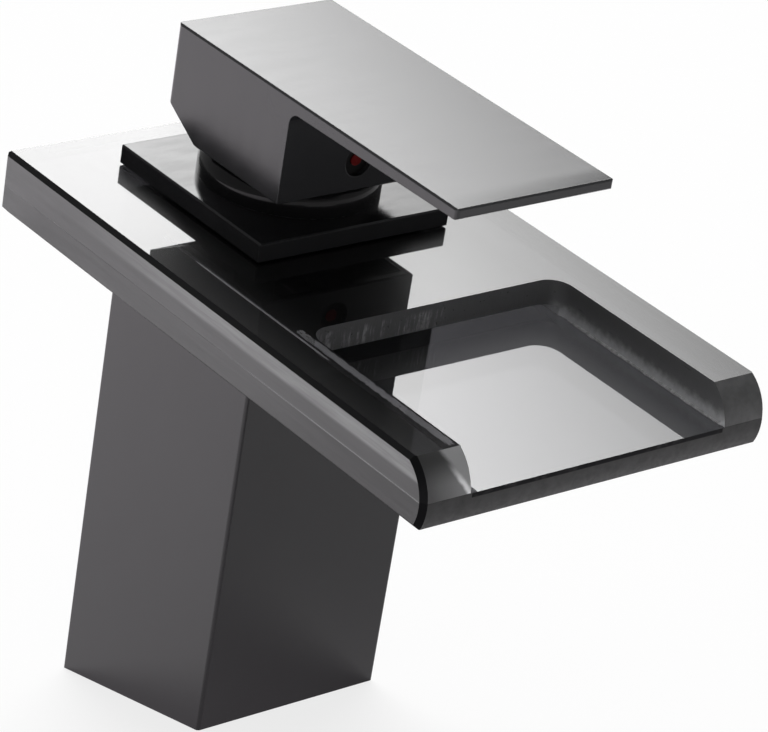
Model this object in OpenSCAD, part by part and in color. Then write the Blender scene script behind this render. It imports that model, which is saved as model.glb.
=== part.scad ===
/* [Column] */
// Forward lean of the column and of everything it carries, in degrees from upright
lean = 15; // [0:1:20]
// Width of the square column, side to side
column_w = 50; // [48:0.5:60]
// Depth of the column, front to back, measured square to its own axis
column_d = 52.5; // [50:0.5:62]
// Height of the column's top above the middle of its foot, measured along its axis
column_h = 109; // [105:1:140]
// Thickness of the column's four side walls
column_wall = 2.5; // [1.5:0.25:2.75]
// Thickness of the wall that closes the column's top
column_top_t = 4; // [3:0.5:6]
// Radius of the column's four long edges
column_edge_r = 0.8; // [0.3:0.1:2]

/* [Glass spout] */
// Width of both glass layers
glass_w = 92; // [86:1:110]
// Distance from the column's axis to the spout's rear edge
glass_back = 43; // [38:0.2:50]
// Distance from the column's axis to the foremost line of the bowed front edge
glass_front = 108.4; // [96:0.2:125]
// Thickness of the lower layer, whose upper face is the floor of the water channel
floor_glass_t = 6.3; // [4:0.1:7]
// Thickness of the upper layer, which has the channel cut through it
frame_glass_t = 8; // [8:0.1:11]
// Radius of the bowed front edge, seen from the side
bow_r = 11; // [10:0.5:16]
// Height of the bow's foremost line above the spout's underside
bow_rise = 4.8; // [3:0.2:6]
// Chamfer on the long upper and lower edges of the glass
glass_arris = 1; // [0.4:0.1:1.6]
// Chamfer on the upright edges of the glass
glass_corner = 1.2; // [0.5:0.1:2]
// Chamfer on the lower rear edge of the glass
glass_heel = 2.2; // [1:0.1:3.5]
// Width of the open water channel
channel_w = 68; // [56:1:76]
// Distance from the column's axis to the channel's rear wall
channel_back = 52.3; // [48:0.5:60]
// Radius of the channel's two rear corners
channel_r = 5; // [2:0.5:8]
// How far each side of the hidden water slot lies inside the channel's side
slot_inset = 0.5; // [0.5:0.5:12]
// Distance from the column's axis forward to the slot's rear wall
slot_start = 1; // [0:0.5:4]
// Height of the hidden water slot
slot_h = 2; // [1.5:0.1:2.5]

/* [Top plate] */
// Width of the square plate that lies on the glass
plate_w = 51.6; // [49:0.2:60]
// Depth of that plate
plate_d = 52.2; // [50:0.2:60]
// Thickness of that plate
plate_t = 4.5; // [4:0.1:6]
// How far the plate's middle lies behind the valve's axis
plate_shift = 1.1; // [0:0.1:3]
// Chamfer on the plate's edges
plate_edge = 0.3; // [0.1:0.1:0.8]

/* [Bonnet] */
// Clearance between the bonnet and the threaded neck inside it
bonnet_gap = 0.1; // [0.05:0.05:1.2]
// Height of the bonnet above the plate
bonnet_h = 6.8; // [6.4:0.1:7]
// Radius of the bonnet's rounded shoulder
bonnet_shoulder_r = 4.4; // [4:0.1:4.6]
// Clearance of the bonnet's central opening round the cartridge's neck
bonnet_mouth_gap = 1.6; // [1:0.1:2]

/* [Handle] */
// How far the handle's sides stand out past the bonnet
handle_overhang = 0.4; // [0:0.1:3]
// Distance from the valve's axis to the front face of the handle's block
block_front = 22.2; // [21:0.2:26]
// Distance from the valve's axis to the handle's rear face
block_back = 19.5; // [19:0.1:24]
// Height of the block, from its lower edge to the lever's upper face
block_h = 24.7; // [23:0.1:32]
// Clear height between the top plate and the block's lower edge
block_gap = 7; // [7:0.1:10]
// Distance from the valve's axis to the lever's tip
lever_reach = 77.5; // [55:0.5:100]
// Thickness of the lever where it leaves the block
lever_root_t = 3; // [2.4:0.1:4]
// Thickness of the lever at its tip
lever_tip_t = 2.4; // [1.6:0.1:3]
// Radius of the hollow corner between the block and the lever
lever_fillet_r = 2.8; // [1:0.1:4]
// Height of the slanted cut that lets the block's rear edge dip
heel_cut_h = 6.7; // [5:0.1:9]
// Depth of that slanted cut, front to back
heel_cut_d = 11.9; // [9:0.1:14]
// Wall thickness of the hollow block
handle_wall = 1.8; // [1.4:0.1:1.9]
// Radius of the handle's two rear upright edges
handle_corner_r = 1.5; // [0.5:0.1:4]
// Radius of the lever's two tip corners
lever_corner_r = 0.9; // [0.5:0.1:4]
// Chamfer on the handle's outer edges
handle_edge = 0.4; // [0.1:0.1:0.8]
// Height of the index hole's centre above the block's lower edge
index_rise = 7; // [6.5:0.1:9]
// Radius of the index hole
index_r = 3.6; // [3.2:0.1:4]

/* [Valve] */
// How far the valve's axis lies behind the column's axis
valve_shift = 1; // [0:0.1:1.2]
// Wall of the neck that passes through the glass, outside the nut's thread
neck_wall = 1.3; // [1.2:0.05:1.4]
// Clearance between the cartridge and the chamber that takes it
chamber_gap = 0.2; // [0.15:0.05:0.3]
// Wall of the chamber inside the column
chamber_wall = 3.5; // [2.5:0.1:3.7]
// Thickness of the chamber's floor
chamber_floor_t = 7; // [5:0.5:10]
// How far the flange under the column's top wall stands out past the chamber
flange_rim = 0.8; // [0.4:0.1:1]
// Thickness of that flange
flange_t = 3; // [2:0.5:5]
// Outer radius of the two inlet legs
leg_r = 5; // [4.4:0.1:6]
// Radius of the water passages
passage_r = 3; // [2:0.1:3.2]

/* [Foot] */
// Thickness of the rubber pad under the foot
foot_pad_t = 2.5; // [1.5:0.1:4]
// Radius of the hole in the pad, for the hoses and the stud
foot_pad_hole_r = 15.5; // [14.8:0.1:17]
// Thickness of the foot block that holds the threaded sockets
foot_block_t = 15; // [14:0.5:20]
// Radius of the two inlet sockets, tapped for a fine 10 mm thread
inlet_socket_r = 4.5; // [4:0.1:5]
// Depth of the inlet sockets
inlet_socket_l = 10; // [8:0.5:12]
// Distance between the two inlet sockets
inlet_pitch = 16; // [14:0.5:18]
// How far the inlet sockets lie behind the middle of the foot
inlet_back = 4.5; // [3:0.5:6]
// Radius of the stud socket, tapped for an 8 mm thread
stud_socket_r = 3.4; // [2.5:0.1:4]
// Depth of the stud socket
stud_socket_l = 12; // [8:0.5:13]
// How far the stud socket lies in front of the middle of the foot
stud_front = 9.5; // [8:0.5:11]

/* [Cartridge] */
// Outer radius of the cartridge
cartridge_r = 17.3; // [17:0.05:17.4]
// Height of the cartridge from its base to the shoulder under the nut
cartridge_h = 29.4; // [28:0.2:34]
// Height of the cartridge's base piece
cartridge_base_h = 8; // [7:0.2:9]
// Wall of the cartridge round the discs
cartridge_wall = 4; // [3.7:0.05:4.1]
// Thickness of the fixed ceramic disc
fixed_disc_t = 4; // [3:0.1:4.4]
// Clearance of the fixed ceramic disc in the cartridge
fixed_disc_gap = 0.2; // [0.2:0.1:0.8]
// Thickness of the moving ceramic disc
moving_disc_t = 3; // [2.4:0.1:3.4]
// Room round the moving disc and its carrier, for their slide
moving_disc_room = 3.9; // [3.8:0.1:4.5]
// Height of the disc carrier
carrier_h = 5.4; // [5:0.1:6]
// Sideways distance of the two inlet ports from the axis
port_x = 5.2; // [4.8:0.1:5.4]
// How far the inlet ports lie behind the axis
port_back = 3.5; // [3:0.1:4]
// How far the outlet port lies in front of the axis
outlet_front = 5; // [4.6:0.1:5.4]
// Radius of the two inlet ports
port_r = 2.75; // [2:0.05:3]
// Radius of the outlet port
outlet_r = 3.2; // [2.5:0.1:3.3]

/* [Stem] */
// Width of the stem, side to side
stem_w = 7; // [6:0.1:7.4]
// Depth of the stem, front to back
stem_d = 8; // [7:0.1:8.2]
// Radius of the ball at the stem's lower end
ball_r = 3.1; // [2.8:0.05:3.2]
// Radius of the pin that the stem tilts on
pin_r = 1.5; // [1.2:0.05:1.8]
// Largest tilt of the lever, in degrees
lift_max = 20; // [14:1:20]

/* [Hidden] */

// Fineness of round shapes
$fn = 96;
// Overrun of every cut past the face that it opens
over = 0.5;
// How far a gasket or seal stands out of its groove
proud = 0.2;
// Clearance between loosely fitted pieces
loose = 0.3;
// Clearance between closely fitted pieces
close_fit = 0.1;
// Clearance between pieces that run on each other
running = 0.05;
// Clearance of the tilt pin where it is held in the swivel
pin_fit = 0.01;
// Gap left for the water film between the two ceramic discs
film = 0.05;
// Length that any cut block needs to pass right through the object
reach = 4 * column_h;

// Thickness of the two large gaskets, width of their rings and their outer radius
gasket_t = 1.6;
gasket_w = 3.4;
// Clearance of the glass round the neck
glass_hole_gap = 0.7;
// Half width of the window in the neck
window_half = 10;
// Height of the neck's rim above the top plate
neck_rise = 2.4;
// Wall of the bonnet
bonnet_wall = 1;
// Height of the nut's thread, height of its hexagon and wall of the hexagon at its flats
nut_thread_h = 5;
nut_hex_h = 2.5;
nut_hex_wall = 1.8;
// How far the nut's thread stands out past the chamber
nut_thread_step = 0.4;

// Roof of the cartridge over its round space
cartridge_roof_t = 1.2;
// Height of the cartridge's own neck above the shoulder, and how far it is set in
cartridge_neck_h = 7.3;
cartridge_neck_inset = 4.1;
// Wall of that neck round the swivel
swivel_wall = 3.15;
// Height of the tilt pin above the cartridge's shoulder
pin_rise = 0.3;
// Height of the swivel's rim above the tilt pin
swivel_rise = 8;
// Depth of the flat that lets water pass in front of the cartridge
flat_depth = 2.5;
// Height of the flat's end above the slot
flat_over_slot = 1;
// Thickness, inner radius and outer radius of the small seals
seal_t = 1.2;
inlet_seal_in_r = 3.1;
inlet_seal_out_r = 4.2;
// Wire radius of the cartridge's sealing ring, its groove's depth and its place under the shoulder
ring_wire_r = 0.8;
ring_groove_depth = 1.5;
ring_drop = 4.5;
// Depth of the locating pegs, their radius and how far they are set in
peg_l = 2.5;
peg_r = 2;
peg_inset = 4.8;
// Height of the cross passage in the cartridge's base, its width and its floor
outlet_window_h = 4;
outlet_window_w = 9;
outlet_floor_t = 2.5;
// Depth and radius of the hollow in the moving disc, and its place in front of the axis
mixing_depth = 1.4;
mixing_r = 4.3;
mixing_front = 3.4;
// Thickness of the floor of the carrier's socket
socket_floor_t = 0.6;
// Height of the ball's centre above the carrier's lower face
ball_rise = 3.9;
// Radius of the stem between its ball and its square part
stem_waist_r = 2.2;
// Length of the square part below the tilt pin
stem_drop = 5;
// Height of the stem's end and of its socket's floor below the lever's upper face
stem_top_drop = 8.5;
socket_top_drop = 8;
// Walls of the boss round the stem
boss_wall = 2.4;
// Height of the boss's lower end above the block's lower edge
boss_rise = 3.2;
// Thickness of the tube between the block's front wall and the boss
screw_tube_wall = 1.2;
// Radius, length and key size of the grub screw
screw_r = 2.5;
screw_l = 4.8;
screw_key_r = 1.45;
screw_key_l = 2.4;
// How deep the index plug lies in its hole, its length and its mark
index_drop = 1.2;
index_l = 3.5;
index_mark_r = 1.4;
index_mark_l = 1.5;
index_mark_rise = 0.3;

// Radii round the valve's axis, from the cartridge outwards
chamber_r = cartridge_r + chamber_gap;
chamber_outer_r = chamber_r + chamber_wall;
flange_r = chamber_outer_r + flange_rim;
nut_thread_r = chamber_r + nut_thread_step;
nut_bore_r = nut_thread_r + close_fit;
neck_r = nut_bore_r + neck_wall;
gasket_outer_r = neck_r + loose + gasket_w;
bonnet_r = neck_r + bonnet_gap + bonnet_wall;

// Radii inside the cartridge
cavity_r = cartridge_r - cartridge_wall;
fixed_disc_r = cavity_r - fixed_disc_gap;
moving_disc_r = cavity_r - moving_disc_room;
ring_groove_r = cartridge_r - ring_groove_depth;
flat_front = cartridge_r - flat_depth;
peg_x = cartridge_r - peg_inset;
cartridge_neck_r = cartridge_r - cartridge_neck_inset;
swivel_neck_r = cartridge_neck_r - swivel_wall - running;
nut_across = 2 * (cartridge_neck_r + nut_hex_wall);
bonnet_mouth_r = cartridge_neck_r + bonnet_mouth_gap;

// Heights along the column's axis, from the foot upwards
glass_z = column_h + proud;
frame_z = glass_z + floor_glass_t;
glass_top = frame_z + frame_glass_t;
plate_z = glass_top + loose;
plate_top = plate_z + plate_t;
bonnet_top = plate_top + bonnet_h;
neck_top = plate_top + neck_rise;
block_z = plate_top + block_gap;
handle_top = block_z + block_h;
shoulder_z = neck_top - nut_thread_h;
cartridge_z = shoulder_z - cartridge_h;
chamber_z = cartridge_z - proud;
base_top = cartridge_z + cartridge_base_h;
fixed_disc_z = base_top + proud;
moving_disc_z = fixed_disc_z + fixed_disc_t + film;
carrier_z = moving_disc_z + moving_disc_t + film;
swivel_z = carrier_z + carrier_h + loose;
cavity_top = shoulder_z - cartridge_roof_t;
pin_z = shoulder_z + pin_rise;
ball_z = carrier_z + ball_rise;
slot_top = frame_z + slot_h;
slot_w = channel_w - 2 * slot_inset;

// Places across the column's axis
handle_w = 2 * (bonnet_r + handle_overhang);
block_y = valve_shift - block_front;
back_y = valve_shift + block_back;
tip_y = valve_shift - lever_reach;
bow_y = bow_r - glass_front;
bow_z = glass_z + bow_rise;
index_z = block_z + index_rise;
glass_hole_r = neck_r + glass_hole_gap;
stem_top = handle_top - stem_top_drop;

// The foot, in the upright frame
foot_z = foot_pad_t + loose;
foot_top = foot_z + foot_block_t;
inlet_x = inlet_pitch / 2;

// A point of the leaning frame, given in the upright frame
function leaned(p) = [p[0], p[1] * cos(lean) - p[2] * sin(lean), p[1] * sin(lean) + p[2] * cos(lean)];

// Everything on the column leans forward with it
module leaning() {
    rotate([lean, 0, 0]) children();
}

// Pieces on the valve's axis
module on_valve(z = 0) {
    leaning() translate([0, valve_shift, z]) children();
}

// A flat rectangle about the origin with round corners
module round_rect(w, d, r) {
    square([w - 2 * r, d], center = true);
    square([w, d - 2 * r], center = true);
    for (x = [-1, 1], y = [-1, 1])
        translate([x * (w / 2 - r), y * (d / 2 - r)]) circle(r);
}

// A flat rectangle about the origin with its corners cut off
module cut_rect(w, d, c) {
    a = w / 2;
    b = d / 2;
    polygon([[-a + c, -b], [a - c, -b], [a, -b + c], [a, b - c], [a - c, b], [-a + c, b], [-a, b - c], [-a, -b + c]]);
}

// A block standing on the origin with all its edges cut off
module eased_block(w, d, h, c) {
    intersection() {
        linear_extrude(h) cut_rect(w, d, c);
        translate([0, d / 2, h / 2]) rotate([90, 0, 0]) linear_extrude(d) cut_rect(w, h, c);
        translate([-w / 2, 0, h / 2]) rotate([90, 0, 90]) linear_extrude(w) cut_rect(d, h, c);
    }
}

// A round bar between two points, turned so that its seam lies clear of slanted cuts' ends
module bar(a, b, r) {
    d = b - a;
    l = norm(d);
    translate(a)
        rotate([0, acos(d[2] / l), atan2(d[1], d[0])])
            rotate([0, 0, 90]) cylinder(r = r, h = l);
}

// A flat ring standing on the origin
module ring(outer, inner, h) {
    difference() {
        cylinder(r = outer, h = h);
        translate([0, 0, -over]) cylinder(r = inner, h = h + 2 * over);
    }
}

// The upright space above a level of the foot
module above(z, h = reach) {
    translate([-reach / 2, -reach / 2, z]) cube([reach, reach, h]);
}

// The column's inside, smaller by a clearance on every side
module column_inside(gap) {
    leaning()
        translate([0, 0, -column_h / 2])
            linear_extrude(column_h / 2 + column_h - column_top_t)
                square([column_w - 2 * (column_wall + gap), column_d - 2 * (column_wall + gap)], center = true);
}

module column() {
    color([0.13, 0.13, 0.14])
    difference() {
        intersection() {
            leaning()
                translate([0, 0, -column_h / 2])
                    linear_extrude(column_h / 2 + column_h)
                        round_rect(column_w, column_d, column_edge_r);
            above(0);
        }
        column_inside(0);
        on_valve(column_h - column_top_t - over) cylinder(r = neck_r + loose, h = column_top_t + 2 * over);
        on_valve(column_h - gasket_t + proud)
            ring(gasket_outer_r + close_fit, neck_r, gasket_t);
    }
}

// The solid of the valve core, before its passages are bored
module core_solid() {
    on_valve(chamber_z - chamber_floor_t)
        cylinder(r = chamber_outer_r, h = column_h - column_top_t - chamber_z + chamber_floor_t);
    on_valve(column_h - column_top_t - flange_t)
        cylinder(r = flange_r, h = flange_t);
    on_valve(chamber_z)
        cylinder(r = neck_r, h = neck_top - chamber_z);
    for (side = [-1, 1])
        bar([side * inlet_x, inlet_back, foot_z + inlet_socket_l],
            leaned([side * port_x, valve_shift + port_back, chamber_z - over]), leg_r);
    intersection() {
        column_inside(loose);
        above(foot_z, foot_block_t);
    }
}

module valve_core() {
    color([0.72, 0.56, 0.3])
    difference() {
        core_solid();
        on_valve(chamber_z)
            cylinder(r = chamber_r, h = neck_top - chamber_z + over);
        on_valve(shoulder_z)
            cylinder(r = nut_bore_r, h = nut_thread_h + over);
        for (side = [-1, 1]) {
            on_valve(chamber_z - peg_l - loose)
                translate([side * peg_x, 0, 0]) cylinder(r = peg_r + close_fit, h = peg_l + loose + over);
            translate([side * inlet_x, inlet_back, foot_z - over])
                cylinder(r = inlet_socket_r, h = inlet_socket_l + over);
            bar([side * inlet_x, inlet_back, foot_z + inlet_socket_l - 2 * over],
                leaned([side * port_x, valve_shift + port_back, chamber_z + over]), passage_r);
        }
        translate([0, -stud_front, foot_z - over])
            cylinder(r = stud_socket_r, h = stud_socket_l + over);
        on_valve(frame_z)
            translate([-window_half, -neck_r - over, 0])
                cube([2 * window_half, neck_r, slot_h]);
    }
}

module foot_pad() {
    color([0.07, 0.07, 0.07])
    difference() {
        intersection() {
            column_inside(close_fit);
            above(0, foot_pad_t);
        }
        translate([0, 0, -over]) cylinder(r = foot_pad_hole_r, h = foot_pad_t + 2 * over);
    }
}

module lower_gasket() {
    color([0.08, 0.08, 0.08])
    on_valve(glass_z - gasket_t)
        ring(gasket_outer_r, neck_r + loose, gasket_t);
}

// The outline of both glass layers together, with its cut edges and its bowed front
module glass_blank() {
    total_t = floor_glass_t + frame_glass_t;
    mid_z = glass_z + total_t / 2;
    intersection() {
        translate([0, glass_back, mid_z])
            rotate([90, 0, 0])
                linear_extrude(glass_back + glass_front) cut_rect(glass_w, total_t, glass_arris);
        translate([0, (glass_back - glass_front) / 2, glass_z])
            linear_extrude(total_t)
                polygon([[-glass_w / 2, -reach], [glass_w / 2, -reach],
                         [glass_w / 2, (glass_back + glass_front) / 2 - glass_corner],
                         [glass_w / 2 - glass_corner, (glass_back + glass_front) / 2],
                         [glass_corner - glass_w / 2, (glass_back + glass_front) / 2],
                         [-glass_w / 2, (glass_back + glass_front) / 2 - glass_corner]]);
        union() {
            translate([-glass_w / 2, 0, 0])
                rotate([90, 0, 90])
                    linear_extrude(glass_w)
                        polygon([[bow_y, glass_z], [glass_back - glass_heel, glass_z],
                                 [glass_back, glass_z + glass_heel], [glass_back, glass_top - glass_arris],
                                 [glass_back - glass_arris, glass_top], [bow_y, glass_top]]);
            translate([0, bow_y, bow_z])
                rotate([0, 90, 0])
                    rotate_extrude()
                        polygon([[0, -glass_w / 2], [bow_r - glass_corner, -glass_w / 2],
                                 [bow_r, glass_corner - glass_w / 2], [bow_r, glass_w / 2 - glass_corner],
                                 [bow_r - glass_corner, glass_w / 2], [0, glass_w / 2]]);
        }
    }
}

// One layer of the glass, between two heights
module glass_layer(z, t) {
    intersection() {
        glass_blank();
        translate([-glass_w, -2 * glass_front, z]) cube([2 * glass_w, 4 * glass_front, t]);
    }
}

module glass_floor() {
    color([0.25, 0.26, 0.28, 0.85])
    leaning()
        difference() {
            glass_layer(glass_z, floor_glass_t);
            translate([0, valve_shift, glass_z - over])
                cylinder(r = glass_hole_r, h = floor_glass_t + 2 * over);
        }
}

// The open channel's outline, running out past the front edge
module channel_plan() {
    half = channel_w / 2;
    translate([-half, -channel_back - glass_front]) square([channel_w, glass_front - channel_r]);
    translate([channel_r - half, -channel_back - glass_front])
        square([channel_w - 2 * channel_r, glass_front]);
    for (side = [-1, 1])
        translate([side * (half - channel_r), -channel_back - channel_r]) circle(channel_r);
}

module glass_frame() {
    color([0.32, 0.33, 0.35, 0.85])
    leaning()
        difference() {
            glass_layer(frame_z, frame_glass_t);
            translate([0, valve_shift, frame_z - over])
                cylinder(r = glass_hole_r, h = frame_glass_t + 2 * over);
            translate([0, 0, frame_z - over])
                linear_extrude(frame_glass_t + 2 * over) channel_plan();
            translate([-slot_w / 2, -channel_back - channel_r, frame_z - over])
                cube([slot_w, channel_back + channel_r - slot_start, slot_h + over]);
        }
}

module upper_gasket() {
    color([0.08, 0.08, 0.08])
    on_valve(glass_top)
        ring(gasket_outer_r, neck_r + loose, gasket_t);
}

module top_plate() {
    color([0.12, 0.12, 0.13])
    on_valve(plate_z)
        difference() {
            translate([0, plate_shift, 0]) eased_block(plate_w, plate_d, plate_t, plate_edge);
            translate([0, 0, -over]) cylinder(r = neck_r + proud, h = plate_t + 2 * over);
            translate([0, 0, -over]) cylinder(r = gasket_outer_r + close_fit, h = gasket_t - loose + over);
        }
}

module bonnet() {
    color([0.11, 0.11, 0.12])
    on_valve(plate_top)
        difference() {
            rotate_extrude()
                difference() {
                    union() {
                        square([bonnet_r, bonnet_h - bonnet_shoulder_r]);
                        square([bonnet_r - bonnet_shoulder_r, bonnet_h]);
                        translate([bonnet_r - bonnet_shoulder_r, bonnet_h - bonnet_shoulder_r])
                            intersection() {
                                circle(bonnet_shoulder_r);
                                square(bonnet_shoulder_r);
                            }
                    }
                    translate([0, -over])
                        square([bonnet_r - bonnet_wall, bonnet_h - bonnet_shoulder_r + over]);
                    square([bonnet_r - bonnet_shoulder_r, bonnet_h - bonnet_wall]);
                    translate([bonnet_r - bonnet_shoulder_r, bonnet_h - bonnet_shoulder_r])
                        circle(bonnet_shoulder_r - bonnet_wall);
                    square([bonnet_mouth_r, bonnet_h + over]);
                }
        }
}

module cartridge_nut() {
    color([0.78, 0.62, 0.34])
    on_valve(shoulder_z)
        difference() {
            union() {
                cylinder(r = nut_thread_r, h = nut_thread_h);
                translate([0, 0, nut_thread_h]) cylinder(d = nut_across / cos(30), h = nut_hex_h, $fn = 6);
            }
            translate([0, 0, -over])
                cylinder(r = cartridge_neck_r + close_fit, h = nut_thread_h + nut_hex_h + 2 * over);
        }
}

// Removes the front of a cartridge piece, so that water can rise past it
module front_flat(z, h) {
    translate([-cartridge_r, -2 * cartridge_r, z]) cube([2 * cartridge_r, 2 * cartridge_r - flat_front, h]);
}

module cartridge_housing() {
    color([0.86, 0.86, 0.84])
    on_valve()
        difference() {
            union() {
                translate([0, 0, base_top]) cylinder(r = cartridge_r, h = shoulder_z - base_top);
                translate([0, 0, shoulder_z]) cylinder(r = cartridge_neck_r, h = cartridge_neck_h);
            }
            translate([0, 0, base_top - over]) cylinder(r = cavity_r, h = cavity_top - base_top + over);
            translate([0, 0, base_top]) cylinder(r = swivel_neck_r + running, h = reach / 2);
            front_flat(base_top - over, slot_top + flat_over_slot - base_top + over);
            translate([0, 0, shoulder_z - ring_drop - ring_wire_r - close_fit])
                ring(cartridge_r + over, ring_groove_r, 2 * (ring_wire_r + close_fit));
        }
}

module housing_ring() {
    color([0.06, 0.06, 0.06])
    on_valve(shoulder_z - ring_drop)
        rotate_extrude()
            translate([ring_groove_r + ring_wire_r + running, 0]) circle(ring_wire_r);
}

// Places a shape at each inlet port of the cartridge
module at_inlets() {
    for (side = [-1, 1])
        translate([side * port_x, port_back, 0]) children();
}

module cartridge_base() {
    color([0.8, 0.8, 0.78])
    on_valve(cartridge_z)
        difference() {
            union() {
                cylinder(r = cartridge_r, h = cartridge_base_h);
                for (side = [-1, 1])
                    translate([side * peg_x, 0, -peg_l]) cylinder(r = peg_r, h = peg_l + over);
            }
            at_inlets() translate([0, 0, -over]) cylinder(r = port_r, h = cartridge_base_h + 2 * over);
            at_inlets() translate([0, 0, -over])
                cylinder(r = inlet_seal_out_r + running, h = seal_t - proud + over);
            at_inlets() translate([0, 0, cartridge_base_h - seal_t + proud])
                cylinder(r = inlet_seal_out_r + running, h = seal_t);
            translate([0, -outlet_front, outlet_floor_t])
                cylinder(r = outlet_r, h = cartridge_base_h);
            translate([0, -outlet_front, cartridge_base_h - seal_t + proud])
                cylinder(r = inlet_seal_out_r + running, h = seal_t);
            translate([-outlet_window_w / 2, -cartridge_r - over, outlet_floor_t])
                cube([outlet_window_w, cartridge_r + over - outlet_front, outlet_window_h]);
            front_flat(outlet_floor_t, cartridge_base_h);
        }
}

module inlet_seals() {
    color([0.1, 0.1, 0.1])
    on_valve(chamber_z)
        at_inlets() ring(inlet_seal_out_r, inlet_seal_in_r, seal_t);
}

module disc_seals() {
    color([0.12, 0.12, 0.12])
    on_valve(fixed_disc_z - seal_t) {
        at_inlets() ring(inlet_seal_out_r, inlet_seal_in_r, seal_t);
        translate([0, -outlet_front, 0]) ring(inlet_seal_out_r, outlet_r, seal_t);
    }
}

module fixed_disc() {
    color([0.95, 0.94, 0.9])
    on_valve(fixed_disc_z)
        difference() {
            cylinder(r = fixed_disc_r, h = fixed_disc_t);
            at_inlets() translate([0, 0, -over]) cylinder(r = port_r, h = fixed_disc_t + 2 * over);
            translate([0, -outlet_front, -over]) cylinder(r = outlet_r, h = fixed_disc_t + 2 * over);
        }
}

module moving_disc() {
    color([0.97, 0.96, 0.93])
    on_valve(moving_disc_z)
        difference() {
            cylinder(r = moving_disc_r, h = moving_disc_t);
            translate([0, -mixing_front, -over]) cylinder(r = mixing_r, h = mixing_depth + over);
        }
}

module disc_carrier() {
    color([0.25, 0.35, 0.6])
    on_valve(carrier_z)
        difference() {
            cylinder(r = moving_disc_r, h = carrier_h);
            translate([-ball_r - close_fit, -ball_r - close_fit, socket_floor_t])
                cube([2 * (ball_r + close_fit), 2 * (ball_r + close_fit), carrier_h]);
        }
}

// Room that the tilting stem needs, in front of and behind the pin
function tilt_room(half, h) = half / cos(lift_max) + h * tan(lift_max) + loose;
// Room that the ball needs in front of the axis when the stem tilts
ball_room = (pin_z - ball_z) * sin(lift_max) + ball_r + loose;
// How far below the pin the stem's square part reaches when it tilts
stem_dip = stem_drop * cos(lift_max) + stem_d / 2 * sin(lift_max) + loose;

module swivel() {
    flange_h = cavity_top - swivel_z - close_fit;
    slot_half = stem_w / 2 + close_fit;
    rest_half = stem_d / 2 + loose;
    color([0.9, 0.9, 0.88])
    on_valve(swivel_z)
        difference() {
            union() {
                cylinder(r = cavity_r - loose, h = flange_h);
                cylinder(r = swivel_neck_r, h = pin_z + swivel_rise - swivel_z);
            }
            translate([-slot_half, -rest_half, pin_z - swivel_z])
                cube([2 * slot_half, rest_half + tilt_room(stem_d / 2, swivel_rise), swivel_rise + over]);
            translate([-slot_half, -tilt_room(stem_d / 2, stem_drop), pin_z - swivel_z - stem_dip])
                cube([2 * slot_half, tilt_room(stem_d / 2, stem_drop) + rest_half, stem_dip + over]);
            translate([-slot_half, -ball_room, -over])
                cube([2 * slot_half, ball_room + ball_r + loose, pin_z - swivel_z - stem_drop + over]);
            translate([-cavity_r, 0, pin_z - swivel_z])
                rotate([0, 90, 0]) cylinder(r = pin_r + pin_fit, h = 2 * cavity_r);
        }
}

module stem_pin() {
    color([0.7, 0.71, 0.73])
    on_valve(pin_z)
        translate([-swivel_neck_r + loose, 0, 0])
            rotate([0, 90, 0]) cylinder(r = pin_r, h = 2 * (swivel_neck_r - loose));
}

module stem() {
    color([0.75, 0.6, 0.35])
    on_valve()
        difference() {
            union() {
                translate([0, 0, ball_z]) sphere(r = ball_r);
                translate([0, 0, ball_z]) cylinder(r = stem_waist_r, h = pin_z - ball_z);
                translate([-stem_w / 2, -stem_d / 2, pin_z - stem_drop])
                    cube([stem_w, stem_d, stem_top - pin_z + stem_drop]);
            }
            translate([-stem_w, 0, pin_z])
                rotate([0, 90, 0]) cylinder(r = pin_r + running, h = 2 * stem_w);
        }
}

// The handle's outline seen from above, with round corners
module handle_plan() {
    half = handle_w / 2;
    c = handle_corner_r;
    t = lever_corner_r;
    translate([-half, tip_y + t]) square([handle_w, back_y - c - tip_y - t]);
    translate([c - half, back_y - 2 * c]) square([handle_w - 2 * c, 2 * c]);
    translate([t - half, tip_y]) square([handle_w - 2 * t, 2 * t]);
    for (side = [-1, 1]) {
        translate([side * (half - c), back_y - c]) circle(c);
        translate([side * (half - t), tip_y + t]) circle(t);
    }
}

// The handle's outline seen from the side: the block, its slanted heel and the thin lever
module handle_side() {
    e = handle_edge;
    f = lever_fillet_r;
    root_z = handle_top - lever_root_t;
    polygon([[back_y, handle_top - e], [back_y - e, handle_top], [tip_y + e, handle_top],
             [tip_y, handle_top - e], [tip_y, handle_top - lever_tip_t + e],
             [tip_y + e, handle_top - lever_tip_t], [block_y - f, root_z],
             [block_y, root_z], [block_y, block_z + e], [block_y + e, block_z],
             [back_y - heel_cut_d, block_z], [back_y, block_z + heel_cut_h]]);
    difference() {
        translate([block_y - f, root_z - f]) square([f + over, f + over]);
        translate([block_y - f, root_z - f]) circle(f);
    }
}

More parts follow.
